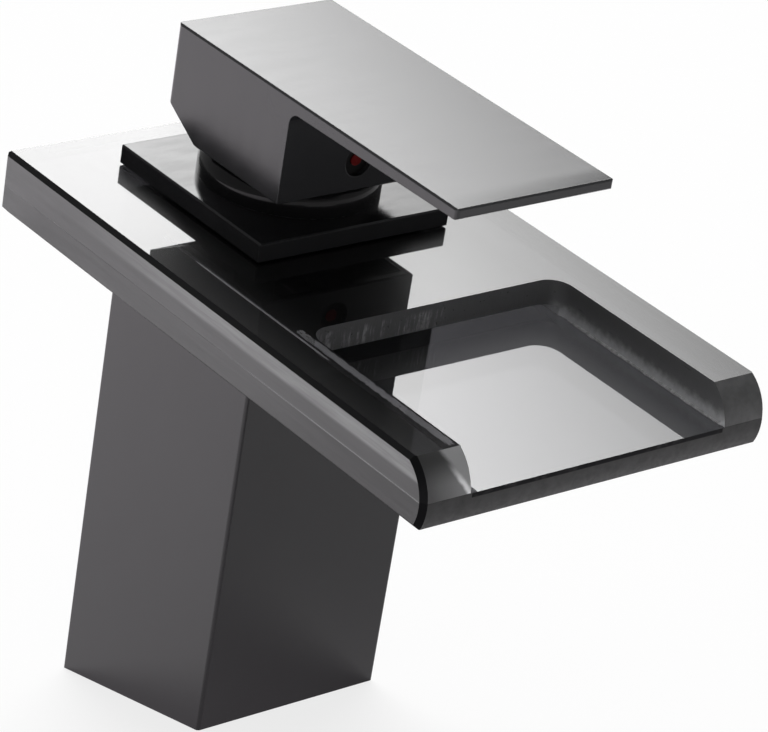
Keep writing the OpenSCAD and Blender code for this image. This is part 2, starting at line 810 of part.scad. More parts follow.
module handle() {
    hollow_front = block_y + handle_wall;
    hollow_back = back_y - handle_wall;
    roof_z = handle_top - lever_root_t;
    boss_w = stem_w + 2 * (running + boss_wall);
    boss_d = stem_d + 2 * (running + boss_wall);
    color([0.14, 0.14, 0.15])
    leaning()
        difference() {
            intersection() {
                translate([0, 0, block_z - over]) linear_extrude(block_h + 2 * over) handle_plan();
                translate([-handle_w / 2, 0, 0]) rotate([90, 0, 90]) linear_extrude(handle_w) handle_side();
                translate([0, back_y, block_z + block_h / 2])
                    rotate([90, 0, 0])
                        linear_extrude(back_y - tip_y) cut_rect(handle_w, block_h, handle_edge);
            }
            difference() {
                translate([handle_wall - handle_w / 2, hollow_front, block_z - over])
                    cube([handle_w - 2 * handle_wall, hollow_back - hollow_front, roof_z - block_z + over]);
                translate([-boss_w / 2, valve_shift - boss_d / 2, block_z + boss_rise])
                    cube([boss_w, boss_d, block_h]);
                translate([0, valve_shift, index_z])
                    rotate([90, 0, 0]) cylinder(r = index_r + screw_tube_wall, h = block_front);
            }
            translate([-stem_w / 2 - running, valve_shift - stem_d / 2 - running, block_z - over])
                cube([stem_w + 2 * running, stem_d + 2 * running, handle_top - socket_top_drop - block_z + over]);
            translate([0, valve_shift - boss_d / 2, index_z])
                rotate([90, 0, 0]) cylinder(r = index_r, h = block_front);
            translate([0, valve_shift, index_z])
                rotate([90, 0, 0]) cylinder(r = screw_r + running, h = block_front);
        }
}

module grub_screw() {
    start = stem_d / 2 + running;
    color([0.3, 0.3, 0.32])
    on_valve(index_z)
        translate([0, -start, 0])
            rotate([90, 0, 0])
                difference() {
                    cylinder(r = screw_r, h = screw_l);
                    translate([0, 0, screw_l - screw_key_l]) cylinder(r = screw_key_r, h = screw_key_l + over, $fn = 6);
                }
}

module index_plug() {
    color([0.03, 0.03, 0.03])
    on_valve(index_z)
        translate([0, index_drop - block_front, 0])
            rotate([-90, 0, 0])
                difference() {
                    cylinder(r = index_r - running, h = index_l);
                    translate([0, 0, -over]) cylinder(r = index_mark_r + running, h = index_mark_l + over);
                }
}

module index_mark() {
    color([0.75, 0.05, 0.06])
    on_valve(index_z)
        translate([0, index_drop - index_mark_rise - block_front, 0])
            rotate([-90, 0, 0]) cylinder(r = index_mark_r, h = index_mark_l + index_mark_rise);
}

column();
valve_core();
foot_pad();
lower_gasket();
glass_floor();
glass_frame();
upper_gasket();
top_plate();
bonnet();
cartridge_nut();
cartridge_housing();
housing_ring();
cartridge_base();
inlet_seals();
disc_seals();
fixed_disc();
moving_disc();
disc_carrier();
swivel();
stem_pin();
stem();
handle();
grub_screw();
index_plug();
index_mark();
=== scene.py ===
import math
import random

import bmesh
import bpy
from mathutils import Matrix, Vector


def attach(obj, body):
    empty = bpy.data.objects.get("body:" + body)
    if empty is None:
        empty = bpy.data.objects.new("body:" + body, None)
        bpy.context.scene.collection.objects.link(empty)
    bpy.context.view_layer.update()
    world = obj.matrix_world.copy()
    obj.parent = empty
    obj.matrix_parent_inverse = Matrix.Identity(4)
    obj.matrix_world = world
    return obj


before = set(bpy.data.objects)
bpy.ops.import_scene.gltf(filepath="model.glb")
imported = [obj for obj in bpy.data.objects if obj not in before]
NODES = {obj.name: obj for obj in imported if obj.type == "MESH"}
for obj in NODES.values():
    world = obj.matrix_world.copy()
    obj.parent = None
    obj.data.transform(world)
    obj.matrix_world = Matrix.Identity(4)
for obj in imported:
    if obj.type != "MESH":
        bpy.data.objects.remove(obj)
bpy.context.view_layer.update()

# The column's frame leans forward about the side-to-side axis
LEAN = math.radians(15)
MM = 0.001

# Levels along the column's axis and places across it, in millimetres of the leaning frame
BOND_Z = 115.5
GLASS_TOP_Z = 123.5
GLASS_HALF = 46.0
GLASS_CORNER = 1.2
BOW_TOP_Y = -102.8
CHANNEL_HALF = 34.0
CHANNEL_BACK = -52.3
CHANNEL_R = 5.0
SLOT_HALF = 33.5
SLOT_START_Y = -1.0


def leaned(x, y, z):
    """Turns a point of the leaning frame, in millimetres, into one of the upright frame, in metres."""
    c, s = math.cos(LEAN), math.sin(LEAN)
    return Vector((x, y * c - z * s, y * s + z * c)) * MM


# Camera: where it stands, its three directions, and its lens and sensor in millimetres
CAMERA_AT = (-0.47119063, -0.66056612, 0.30114591)
CAMERA_RIGHT = Vector((0.78186323, -0.62330093, -0.01363197))
CAMERA_DOWN = Vector((-0.17844962, -0.20278806, -0.96282539))
CAMERA_FORWARD = Vector((0.59736556, 0.75523039, -0.26978035))
LENS = 172.58105834931953
SENSOR = 36.0
NEAREST = 0.05
FARTHEST = 50.0

cam_data = bpy.data.cameras.new("camera")
cam_data.sensor_fit = "HORIZONTAL"
cam_data.sensor_width = SENSOR
cam_data.lens = LENS
cam_data.clip_start = NEAREST
cam_data.clip_end = FARTHEST
camera = bpy.data.objects.new("camera", cam_data)
turn = Matrix((CAMERA_RIGHT, -CAMERA_DOWN, -CAMERA_FORWARD)).transposed()
camera.matrix_world = Matrix.Translation(CAMERA_AT) @ turn.to_4x4()
bpy.context.scene.collection.objects.link(camera)
bpy.context.scene.camera = camera
bpy.context.scene.view_settings.view_transform = "Standard"


class Tree:
    """A node tree with short ways to add its nodes. The methods that work something out return a socket."""

    def __init__(self, tree):
        self.tree = tree

    def node(self, kind, **values):
        n = self.tree.nodes.new(kind)
        for key, value in values.items():
            setattr(n, key, value)
        return n

    def feed(self, socket, value):
        if isinstance(value, bpy.types.NodeSocket):
            self.tree.links.new(value, socket)
        elif value is not None:
            socket.default_value = value

    def math(self, operation, *values, clamp=False):
        n = self.node("ShaderNodeMath", operation=operation, use_clamp=clamp)
        for socket, value in zip(n.inputs, values):
            self.feed(socket, value)
        return n.outputs[0]

    def plus(self, a, b):
        return self.math("ADD", a, b)

    def minus(self, a, b):
        return self.math("SUBTRACT", a, b)

    def times(self, first, *others):
        for other in others:
            first = self.math("MULTIPLY", first, other)
        return first

    def scaled(self, value, factor, added):
        """The value times the factor, plus what is added."""
        return self.math("MULTIPLY_ADD", value, factor, added)

    def most(self, first, *others):
        for other in others:
            first = self.math("MAXIMUM", first, other)
        return first

    def size(self, value):
        return self.math("ABSOLUTE", value)

    def above(self, value, limit):
        """1 where the value is above the limit, and 0 elsewhere."""
        return self.math("GREATER_THAN", value, limit)

    def below(self, value, limit):
        """1 where the value is below the limit, and 0 elsewhere."""
        return self.math("LESS_THAN", value, limit)

    def ramp(self, value, low, high, start=0.0, end=1.0, smooth=True):
        """Maps low..high to start..end and holds it there outside that range."""
        kind = "SMOOTHSTEP" if smooth else "LINEAR"
        n = self.node("ShaderNodeMapRange", clamp=True, interpolation_type=kind)
        self.feed(n.inputs["Value"], value)
        for name, v in (("From Min", low), ("From Max", high), ("To Min", start), ("To Max", end)):
            self.feed(n.inputs[name], v)
        return n.outputs["Result"]

    def band(self, value, low, high, soft):
        """1 between low and high, 0 outside, with soft borders."""
        rise = self.ramp(value, low - soft, low + soft)
        fall = self.ramp(value, high - soft, high + soft, 1.0, 0.0)
        return self.times(rise, fall)

    def mix(self, share, a, b):
        """A number between a and b."""
        n = self.node("ShaderNodeMix", data_type="FLOAT")
        for name, v in (("Factor", share), ("A", a), ("B", b)):
            self.feed(next(s for s in n.inputs if s.name == name and s.enabled), v)
        return next(s for s in n.outputs if s.enabled)

    def blend(self, share, a, b):
        """A colour between a and b."""
        n = self.node("ShaderNodeMix", data_type="RGBA")
        self.feed(n.inputs[0], share)
        self.feed(n.inputs[6], a)
        self.feed(n.inputs[7], b)
        return n.outputs[2]

    def noise(self, where, scale, detail=2.0, roughness=0.5):
        n = self.node("ShaderNodeTexNoise")
        self.feed(n.inputs["Vector"], where)
        for name, v in (("Scale", scale), ("Detail", detail), ("Roughness", roughness)):
            n.inputs[name].default_value = v
        return n.outputs["Fac"]

    def cells(self, where, scale):
        n = self.node("ShaderNodeTexVoronoi")
        self.feed(n.inputs["Vector"], where)
        n.inputs["Scale"].default_value = scale
        return n.outputs["Distance"]

    def stretch(self, where, scale):
        n = self.node("ShaderNodeMapping")
        self.feed(n.inputs["Vector"], where)
        n.inputs["Scale"].default_value = scale
        return n.outputs[0]

    def split(self, vector):
        n = self.node("ShaderNodeSeparateXYZ")
        self.feed(n.inputs[0], vector)
        return n.outputs[0], n.outputs[1], n.outputs[2]

    def grey(self, tone, blue):
        """A grey of that tone, with its blue part times the factor."""
        n = self.node("ShaderNodeCombineXYZ")
        for socket, value in zip(n.inputs, (tone, tone, self.times(tone, blue))):
            self.feed(socket, value)
        return n.outputs[0]


# The edge mask: samples of the bevel, and how far its normal turns before an edge counts
EDGE_SAMPLES = 6
EDGE_STARTS = 0.98
EDGE_FULL = 0.92


class Finish(Tree):
    """One material: a Principled node and the textures that feed it. Lengths are in millimetres."""

    def __init__(self, name, **values):
        self.material = bpy.data.materials.new(name)
        self.material.use_nodes = True
        super().__init__(self.material.node_tree)
        self.shader = self.tree.nodes["Principled BSDF"]
        self.coords = self.node("ShaderNodeTexCoord")
        lean = self.node("ShaderNodeMapping", vector_type="POINT")
        lean.inputs["Scale"].default_value = (1 / MM, 1 / MM, 1 / MM)
        lean.inputs["Rotation"].default_value = (-LEAN, 0.0, 0.0)
        self.tree.links.new(self.coords.outputs["Object"], lean.inputs["Vector"])
        self.place = lean.outputs[0]
        self.set(**values)

    def set(self, **values):
        for key, value in values.items():
            self.feed(self.shader.inputs[key.replace("_", " ")], value)

    def facing(self):
        """The surface's own direction in the leaning frame."""
        n = self.node("ShaderNodeMapping", vector_type="POINT")
        n.inputs["Rotation"].default_value = (-LEAN, 0.0, 0.0)
        self.tree.links.new(self.coords.outputs["Normal"], n.inputs["Vector"])
        return n.outputs[0]

    def rough(self, share, low, high):
        self.set(Roughness=self.ramp(share, 0.0, 1.0, low, high, smooth=False))

    def edges(self, radius):
        """1 on the part's edges and 0 elsewhere, and the rounded normal."""
        bevel = self.node("ShaderNodeBevel", samples=EDGE_SAMPLES)
        bevel.inputs["Radius"].default_value = radius * MM
        geometry = self.node("ShaderNodeNewGeometry")
        dot = self.node("ShaderNodeVectorMath", operation="DOT_PRODUCT")
        self.tree.links.new(bevel.outputs[0], dot.inputs[0])
        self.tree.links.new(geometry.outputs["Normal"], dot.inputs[1])
        return self.ramp(dot.outputs["Value"], EDGE_STARTS, EDGE_FULL), bevel.outputs[0]

    def bump(self, height, depth, normal=None):
        """Raises the surface by height times depth, a depth in millimetres."""
        n = self.node("ShaderNodeBump")
        n.inputs["Distance"].default_value = depth * MM
        self.feed(n.inputs["Height"], height)
        self.feed(n.inputs["Normal"], normal)
        self.set(Normal=n.outputs[0])
        return n.outputs[0]

    def give(self, *names):
        for name in names:
            slots = NODES[name].data.materials
            slots.clear()
            slots.append(self.material)


# How the numbers below are given. A noise: its scale per millimetre, detail and roughness.
# A ramp: where it starts, where it ends, and the two values there, which are 0 and 1 if left out.
# A band: where it starts, where it ends and how soft it is. A run stretches a noise along an axis.

# Most of a noise's values lie between these two
MIDDLE = (0.3, 0.7)
PLAIN_IOR = 1.5

# Lacquer
LACQUER_CLOUDS = (0.06, 3.0)
LACQUER_GRAIN = (1.6, 3.0)
LACQUER_DUST = (7.0, 2.0)
LACQUER_PEEL = (0.8, 1.0)
LACQUER_SMEARS = (0.25, 4.0, 0.6)
SMEARS_RUN = (0.25, 1.0, 0.25)
SMEARS_SHARE = (0.35, 0.65)
CLOUDS_WEIGHT = 0.7
DUST_WEIGHT = 0.3
LOW_BLUE = 1.1
HIGH_BLUE = 1.08
LACQUER_EDGE = 0.22
RUBBED_GRAIN = (0.35, 0.65)
RUBBED_SHARE = 0.6
RUBBED_COLOUR = (0.10, 0.10, 0.105, 1.0)
DUST_HEIGHT = 0.05
PEEL_DEPTH = 0.0035
TIP_LENGTH = 7.0
TIP_RISE = 0.3
TIP_ACROSS = (-22.0, 22.0, 0.3, 1.0)


def lacquer(name, nodes, tones, roughness, ior=PLAIN_IOR, tip=None):
    """Black lacquer on metal, with dust and faint smears, rubbed thin along the edges.

    tip is the place along the spout where a front edge ends. The surface curls up a little before it.
    """
    low, high = tones
    f = Finish(name, IOR=ior)
    clouds = f.noise(f.place, *LACQUER_CLOUDS)
    grain = f.noise(f.place, *LACQUER_GRAIN)
    dust = f.noise(f.place, *LACQUER_DUST)
    smears = f.noise(f.stretch(f.place, SMEARS_RUN), *LACQUER_SMEARS)
    worn, rounded = f.edges(LACQUER_EDGE)
    tone = f.plus(f.times(clouds, CLOUDS_WEIGHT), f.times(dust, DUST_WEIGHT))
    shade = f.blend(tone, (low, low, LOW_BLUE * low, 1.0), (high, high, HIGH_BLUE * high, 1.0))
    rubbed = f.times(worn, f.ramp(grain, *RUBBED_GRAIN), RUBBED_SHARE)
    f.set(Base_Color=f.blend(rubbed, shade, RUBBED_COLOUR))
    f.rough(f.ramp(smears, *SMEARS_SHARE), *roughness)
    peel = f.plus(f.noise(f.place, *LACQUER_PEEL), f.times(dust, DUST_HEIGHT))
    if tip is not None:
        x, y = f.split(f.place)[:2]
        past = f.most(f.minus(tip + TIP_LENGTH, y), 0.0)
        curl = f.times(past, past, f.ramp(x, *TIP_ACROSS, smooth=False))
        rounded = f.bump(curl, TIP_RISE / TIP_LENGTH ** 2, rounded)
    f.bump(peel, PEEL_DEPTH, rounded)
    f.give(*nodes)


# Glass: its film of haze, and its slightly uneven polish
FILM_ROUGHNESS = 0.42
FILM_IOR = 1.5
POLISH = (0.1, 3.0)
POLISH_ROUGHNESS = (0.45, 0.8, 0.0, 0.006)
CLOUDY_LEAST = 0.85
CLOUDY_MOST = 1.15

# Glass: half the thickness in which a face counts as lying on the bond, and the step to what lies above it
BOND_REACH = 0.02
BOND_STEP = 0.05

# Glass: the ground outer sides, their paler upper part, the line of the bond and the darker parts
FLANK_SIDE = (GLASS_HALF - 0.3, GLASS_HALF - 0.1)
FLANK_FACING = (0.9, 0.97)
STREAKS = (0.9, 4.0, 0.6)
STREAKS_RUN = (1.0, 0.05, 1.0)
CLOUDS = (0.16, 3.0, 0.6)
CLOUDS_RUN = (1.0, 0.4, 1.0)
STREAKS_TONE = (0.3, 0.75, 0.10, 0.15)
CLOUDS_TONE = 0.035
UPPER_LEVEL = (118.6, 119.8)
UPPER_ALONG = (22.0, -38.0)
UPPER_TONE = (0.10, 0.22)
BOND_LINE = (BOND_Z - 0.12, BOND_Z + 0.12, 0.06)
BOND_LINE_TONE = (-20.0, -80.0, 0.0, 0.30)
HEART_LEVEL = (BOND_Z + 0.4, 119.0, 0.5)
HEART_ALONG = (-20.0, -95.0)
HEART_SHADE = 0.78
LOWER_LEVEL = (119.8, 118.6)
LOWER_ALONG = (40.0, 26.0)
LOWER_SHADE = 0.8
LOWEST_LEVEL = (BOND_Z, BOND_Z - 0.4)
LOWEST_ALONG = (-40.0, -90.0)
LOWEST_SHADE = 0.6
FLANK_BLUE = 1.02
GROUND_ROUGHNESS = (0.32, 0.5)
GROUND_DEPTH = 0.05

# Glass: the channel's cut walls and the ribs on its back wall
WALL_FACING = (0.3, 0.1)
WALL_SIDE = CHANNEL_HALF + 0.2
WALL_MATT = 0.85
WALL_BLUE = 1.03
BACK_FACING = (0.6, 0.9)
RIBS = (1.1, 4.0, 0.7)
RIBS_RUN = (1.0, 1.0, 0.10)
RIBS_SHARE = (0.45, 0.72)
RIBS_LEVEL = (117.6, 121.8, 0.7)
RIBS_ACROSS = (-32.0, 2.0, 3.0)
RIBS_TORN = (0.3, 0.6)
RIBS_TONE = 0.38
RIBS_HEIGHT = 3.0
BACK_TONE = 0.115
TORN = (0.5, 3.0, 0.6)
WALL_RAGGED = 2.4
WALL_TONE = (123.2, 117.5, 0.15, 0.22)
FOOT_RAGGED = 2.6
FOOT_TONE = (120.6, 117.0, 0.0, 0.6)

# Glass: the dull bow, and in its left end a painted see-through image of the cut wall: a pale streak with
# the tones beside and beyond it
BOW_FACING = (-0.3, -0.45)
BOW_MATT = 0.93
BOW_BLUE = 1.02
MIST = (0.35, 4.0, 0.6)
BOW_LOW_TONE = (0.013, 0.03)
BOW_HIGH_TONE = (0.06, 0.09)
STREAK_SLANT = 0.7
STREAK_RAGGED = 0.8
STREAK_ACROSS = (-0.6, 0.7, 0.5)
STREAK_LEVEL = (122.2, 117.4)
PAINTED_STREAK_TONE = 0.9
BEYOND_TONE = (0.4, 9.0, 0.22, 0.06)
BEYOND_LEVEL = (123.0, 118.0, 0.12, 1.0)
BESIDE_FROM = (0.4, -1.2)
BESIDE_TONE = 0.33

# Glass: the painted light lines on the top beside the channel's left edge, which stand for the cut wall and
# the slot's edge seen through the glass
TOP_FACING = 0.9
TOP_Z = GLASS_TOP_Z - 0.1
MOTTLED = (2.2, 4.0, 0.65)
MOTTLED_RUN = (1.0, 0.3, 1.0)
WALL_LINE = (0.7, 2.2, 0.3)
WALL_LINE_ALONG = (-101.0, -52.5, 1.5)
WALL_LINE_SHARE = (0.44, 0.62, 0.01, 0.2)
EDGE_LINE = (3.1, 3.5, 0.12)
EDGE_LINE_ALONG = (-62.0, -20.0, 3.0)
EDGE_LINE_SHARE = (0.3, 0.6, 0.02, 0.10)
PAINTED_LINES_START = (0.0, 0.01)
PAINTED_LINES_COLOUR = (0.42, 0.42, 0.44, 1.0)

# Glass: the darkened arrises and corners, and the dark lip under the channel floor's front edge
CORNER_FACING = (0.4, 0.85, 0.05)
CORNER_SIDE = GLASS_HALF - GLASS_CORNER - 0.1
CORNER_ROUGHNESS = 0.65
LIP_LEVEL = (BOND_Z - 1.0, BOND_Z, 0.1)
LIP_SIDE = CHANNEL_HALF - 0.4
LIP_SHARE = (0.35, 0.5, 0.7, 1.0)
DARK_COLOUR = (0.006, 0.006, 0.007, 1.0)


class Glass(Finish):
    """Smoked glass with ground sides, a clear bond between the layers and a thin film of haze."""

    def __init__(self, name, ior, film):
        super().__init__(name, IOR=ior, Coat_Weight=film, Coat_Roughness=FILM_ROUGHNESS, Coat_IOR=FILM_IOR)
        self.x, self.y, self.z = self.split(self.place)
        self.side = self.size(self.x)
        nx, ny, nz = self.split(self.facing())
        self.nx = self.size(nx)
        self.ny = ny
        self.nz = nz
        self.streaks = self.noise(self.stretch(self.place, STREAKS_RUN), *STREAKS)
        self.clouds = self.noise(self.stretch(self.place, CLOUDS_RUN), *CLOUDS)
        self.torn = self.noise(self.place, *TORN)
        self.mist = self.noise(self.place, *MIST)

    def bonded(self):
        """1 where the two layers touch, so not in the channel and not in the slot."""
        past_x = self.most(self.minus(self.side, CHANNEL_HALF - CHANNEL_R), 0.0)
        past_y = self.most(self.minus(self.y, CHANNEL_BACK - CHANNEL_R), 0.0)
        reach = self.math("SQRT", self.plus(self.times(past_x, past_x), self.times(past_y, past_y)))
        outside = self.above(reach, CHANNEL_R)
        in_slot = self.times(self.below(self.side, SLOT_HALF), self.below(self.y, SLOT_START_Y))
        at_bond = self.below(self.size(self.minus(self.z, BOND_Z)), BOND_REACH)
        return self.times(at_bond, outside, self.minus(1.0, in_slot))

    def dimmed(self, tone, where, factor):
        """The tone, times the factor where the mask is 1."""
        return self.times(tone, self.ramp(where, 0.0, 1.0, 1.0, factor, smooth=False))

    def flank(self):
        """The ground outer sides, with streaks along them: a mask and its colour."""
        mask = self.times(self.ramp(self.side, *FLANK_SIDE), self.ramp(self.nx, *FLANK_FACING))
        tone = self.ramp(self.streaks, *STREAKS_TONE, smooth=False)
        tone = self.plus(tone, self.times(self.clouds, CLOUDS_TONE))
        upper = self.times(self.ramp(self.z, *UPPER_LEVEL), self.ramp(self.y, *UPPER_ALONG))
        tone = self.plus(tone, self.times(upper, self.ramp(self.streaks, *MIDDLE, *UPPER_TONE)))
        line = self.times(self.band(self.z, *BOND_LINE), self.ramp(self.y, *BOND_LINE_TONE))
        tone = self.plus(tone, line)
        heart = self.times(self.band(self.z, *HEART_LEVEL), self.ramp(self.y, *HEART_ALONG))
        tone = self.dimmed(tone, heart, HEART_SHADE)
        lower = self.times(self.ramp(self.z, *LOWER_LEVEL), self.ramp(self.y, *LOWER_ALONG))
        tone = self.dimmed(tone, lower, LOWER_SHADE)
        lowest = self.times(self.ramp(self.z, *LOWEST_LEVEL), self.ramp(self.y, *LOWEST_ALONG))
        tone = self.dimmed(tone, lowest, LOWEST_SHADE)
        return mask, self.grey(tone, FLANK_BLUE)

    def walls(self):
        """The channel's cut walls, the back one ribbed by the cutter: a mask, its colour and its grooves."""
        upright = self.ramp(self.size(self.nz), *WALL_FACING)
        above_bond = self.above(self.z, BOND_Z + BOND_STEP)
        mask = self.times(upright, above_bond, self.below(self.side, WALL_SIDE))
        back = self.ramp(self.size(self.ny), *BACK_FACING)
        ribs = self.noise(self.stretch(self.place, RIBS_RUN), *RIBS)
        ribbed = self.times(self.ramp(ribs, *RIBS_SHARE), self.band(self.z, *RIBS_LEVEL))
        ribbed = self.times(ribbed, self.band(self.x, *RIBS_ACROSS), self.ramp(self.torn, *RIBS_TORN))
        grade = self.ramp(self.scaled(self.torn, WALL_RAGGED, self.z), *WALL_TONE)
        foot = self.ramp(self.scaled(self.torn, FOOT_RAGGED, self.z), *FOOT_TONE)
        tone = self.mix(back, self.plus(grade, foot), self.scaled(ribbed, RIBS_TONE, BACK_TONE))
        grooves = self.times(mask, back, self.times(ribs, RIBS_HEIGHT))
        return mask, self.grey(tone, WALL_BLUE), grooves

    def bow(self):
        """The dull bow: a mask and its colour.

        In its left end the cut wall, as seen through the glass, is painted as a pale streak that slants down
        to the channel: a painted see-through image.
        """
        mask = self.times(self.below(self.y, BOW_TOP_Y), self.ramp(self.ny, *BOW_FACING))
        # In the bow's left end a pale streak and the tones beside and beyond it are painted: the cut wall as
        # seen through the glass
        left_end = self.times(self.above(self.z, BOND_Z + BOND_STEP), self.below(self.x, 0.0))
        height = self.minus(self.z, BOND_Z)
        slant = self.minus(self.minus(self.side, CHANNEL_HALF), self.times(height, STREAK_SLANT))
        slant = self.scaled(self.minus(self.torn, 0.5), STREAK_RAGGED, slant)
        painted_streak = self.times(self.band(slant, *STREAK_ACROSS), self.ramp(self.z, *STREAK_LEVEL))
        beyond = self.ramp(slant, *BEYOND_TONE, smooth=False)
        beyond = self.times(beyond, self.ramp(self.z, *BEYOND_LEVEL))
        beside = self.mix(self.ramp(slant, *BESIDE_FROM), beyond, BESIDE_TONE)
        painted_see_through_tone = self.mix(painted_streak, beside, PAINTED_STREAK_TONE)
        low_tone = self.ramp(self.mist, *MIDDLE, *BOW_LOW_TONE)
        high_tone = self.ramp(self.mist, *MIDDLE, *BOW_HIGH_TONE)
        right_tone = self.mix(self.above(self.z, BOND_Z), low_tone, high_tone)
        return mask, self.grey(self.mix(left_end, right_tone, painted_see_through_tone), BOW_BLUE)

    def lines(self):
        """The cut wall and the slot's edge as seen through the top, painted on it as mottled light lines:
        their share.
        """
        top = self.times(self.above(self.nz, TOP_FACING), self.above(self.z, TOP_Z))
        inset = self.minus(self.times(self.x, -1.0), CHANNEL_HALF)
        mottled = self.noise(self.stretch(self.place, MOTTLED_RUN), *MOTTLED)
        wall = self.times(self.band(inset, *WALL_LINE), self.band(self.y, *WALL_LINE_ALONG))
        wall = self.times(wall, self.ramp(mottled, *WALL_LINE_SHARE))
        edge = self.times(self.band(inset, *EDGE_LINE), self.band(self.y, *EDGE_LINE_ALONG))
        edge = self.times(edge, self.ramp(mottled, *EDGE_LINE_SHARE))
        return self.times(top, self.plus(wall, edge))


def glass(name, node, tint, ior, film, cloudy):
    """One glass layer. film is the weight of its haze, and cloudy the share of light that it scatters."""
    f = Glass(name, ior, film)
    f.set(Alpha=f.minus(1.0, f.bonded()))
    flank, flank_colour = f.flank()
    walls, wall_colour, grooves = f.walls()
    bow, bow_colour = f.bow()
    lines = f.lines()

    # The arrises, the upright corners and a thin lip under the channel floor's front edge are made dark, a
    # dim black mirror
    corner = f.times(f.band(f.nx, *CORNER_FACING), f.above(f.side, CORNER_SIDE))
    lip = f.times(bow, f.band(f.z, *LIP_LEVEL), f.below(f.side, LIP_SIDE))
    dark = f.most(corner, f.times(lip, f.ramp(f.mist, *LIP_SHARE)))

    shade = f.blend(walls, f.blend(flank, (*tint, 1.0), flank_colour), wall_colour)
    shade = f.blend(bow, shade, bow_colour)
    # The lines on the top are painted light: the cut wall and the slot's edge as seen through the glass
    shade = f.blend(f.ramp(lines, *PAINTED_LINES_START), shade, PAINTED_LINES_COLOUR)
    f.set(Base_Color=f.blend(dark, shade, DARK_COLOUR))
    f.set(Metallic=dark)

    matt = f.math("ADD", flank, f.times(walls, WALL_MATT), clamp=True)
    matt = f.most(matt, f.times(bow, BOW_MATT), lines, corner)
    cloud = f.ramp(f.clouds, *MIDDLE, CLOUDY_LEAST * cloudy, CLOUDY_MOST * cloudy)
    f.set(Transmission_Weight=f.minus(1.0, f.most(matt, cloud)))
    polish = f.ramp(f.noise(f.place, *POLISH), *POLISH_ROUGHNESS)
    ground = f.ramp(f.streaks, *MIDDLE, *GROUND_ROUGHNESS)
    f.set(Roughness=f.mix(corner, f.mix(matt, polish, ground), CORNER_ROUGHNESS))
    f.bump(f.plus(f.times(flank, f.streaks), grooves), GROUND_DEPTH)
    f.give(node)


# Plain finishes
PLAIN_CLOUDS = (0.12, 3.0)
PLAIN_GRAIN = (4.0, 0.6)
PLAIN_SHARE = 0.5
PLAIN_EDGE = 0.15
WEAR_SHARE = 0.7
ALIKE = (1.0, 1.0, 1.0)


def simple(name, nodes, colours, rubbed, roughness, metallic=0.0, grain=5.0, depth=0.01, run=ALIKE,
           ior=PLAIN_IOR):
    """A finish with clouds between two colours, a fine grain and edges rubbed to a third colour."""
    low, high = colours
    f = Finish(name, Metallic=metallic, IOR=ior)
    clouds = f.noise(f.place, *PLAIN_CLOUDS)
    fine = f.noise(f.stretch(f.place, run), grain, *PLAIN_GRAIN)
    worn, rounded = f.edges(PLAIN_EDGE)
    tone = f.plus(f.times(clouds, PLAIN_SHARE), f.times(fine, PLAIN_SHARE))
    shade = f.blend(f.ramp(tone, *MIDDLE), (*low, 1.0), (*high, 1.0))
    f.set(Base_Color=f.blend(f.times(worn, WEAR_SHARE), shade, (*rubbed, 1.0)))
    f.rough(f.ramp(fine, *MIDDLE), *roughness)
    f.bump(fine, depth, rounded)
    f.give(*nodes)


LEVER_TIP_Y = -77.5
FLOOR_TINT = (0.075, 0.077, 0.081)
FRAME_TINT = (0.012, 0.0122, 0.0128)
BRASS_NODES = ("valve_core", "cartridge_nut", "stem")
BRASS = ((0.68, 0.47, 0.22), (0.83, 0.62, 0.33))
BRASS_RUBBED = (0.90, 0.72, 0.42)
TURNED = (1.0, 1.0, 0.05)
STEEL_NODES = ("stem_pin", "grub_screw")
STEEL = ((0.42, 0.42, 0.44), (0.58, 0.58, 0.60))
STEEL_RUBBED = (0.75, 0.75, 0.77)
DRAWN = (0.1, 1.0, 1.0)
RUBBER_NODES = ("foot_pad", "lower_gasket", "upper_gasket", "housing_ring", "inlet_seals", "disc_seals")
RUBBER = ((0.016, 0.016, 0.016), (0.034, 0.034, 0.034))
RUBBER_RUBBED = (0.06, 0.06, 0.058)
WHITE_NODES = ("cartridge_housing", "cartridge_base", "swivel")
WHITE = ((0.72, 0.72, 0.69), (0.80, 0.80, 0.77))
WHITE_RUBBED = (0.86, 0.86, 0.84)
BLUE = ((0.03, 0.06, 0.22), (0.05, 0.09, 0.30))
BLUE_RUBBED = (0.10, 0.16, 0.40)
CERAMIC_NODES = ("fixed_disc", "moving_disc")
CERAMIC = ((0.80, 0.79, 0.74), (0.88, 0.87, 0.83))
CERAMIC_RUBBED = (0.92, 0.91, 0.88)
BLACK = ((0.003, 0.003, 0.003), (0.006, 0.006, 0.006))
BLACK_RUBBED = (0.02, 0.02, 0.02)
RED = ((0.09, 0.002, 0.002), (0.14, 0.003, 0.003))
RED_RUBBED = (0.22, 0.04, 0.04)

# The four black parts share one lacquer, but each gets its own tone and IOR to match how light or dark it
# looks: the plate's and the bonnet's low IOR and the bonnet's darker tone are painted shade, and the
# handle's lighter tone is painted light
lacquer("column_lacquer", ("column",), (0.011, 0.021), (0.08, 0.15))
lacquer("handle_lacquer", ("handle",), (0.018, 0.030), (0.17, 0.20), ior=1.52, tip=LEVER_TIP_Y)
lacquer("plate_lacquer", ("top_plate",), (0.011, 0.019), (0.10, 0.18), ior=1.345)
lacquer("bonnet_lacquer", ("bonnet",), (0.003, 0.008), (0.10, 0.18), ior=1.34)
glass("floor_glass_finish", "glass_floor", FLOOR_TINT, ior=1.43, film=0.12, cloudy=0.08)
glass("frame_glass_finish", "glass_frame", FRAME_TINT, ior=1.46, film=0.22, cloudy=0.35)
simple("brass_finish", BRASS_NODES, BRASS, BRASS_RUBBED, (0.22, 0.38), metallic=1.0, grain=3.0, run=TURNED)
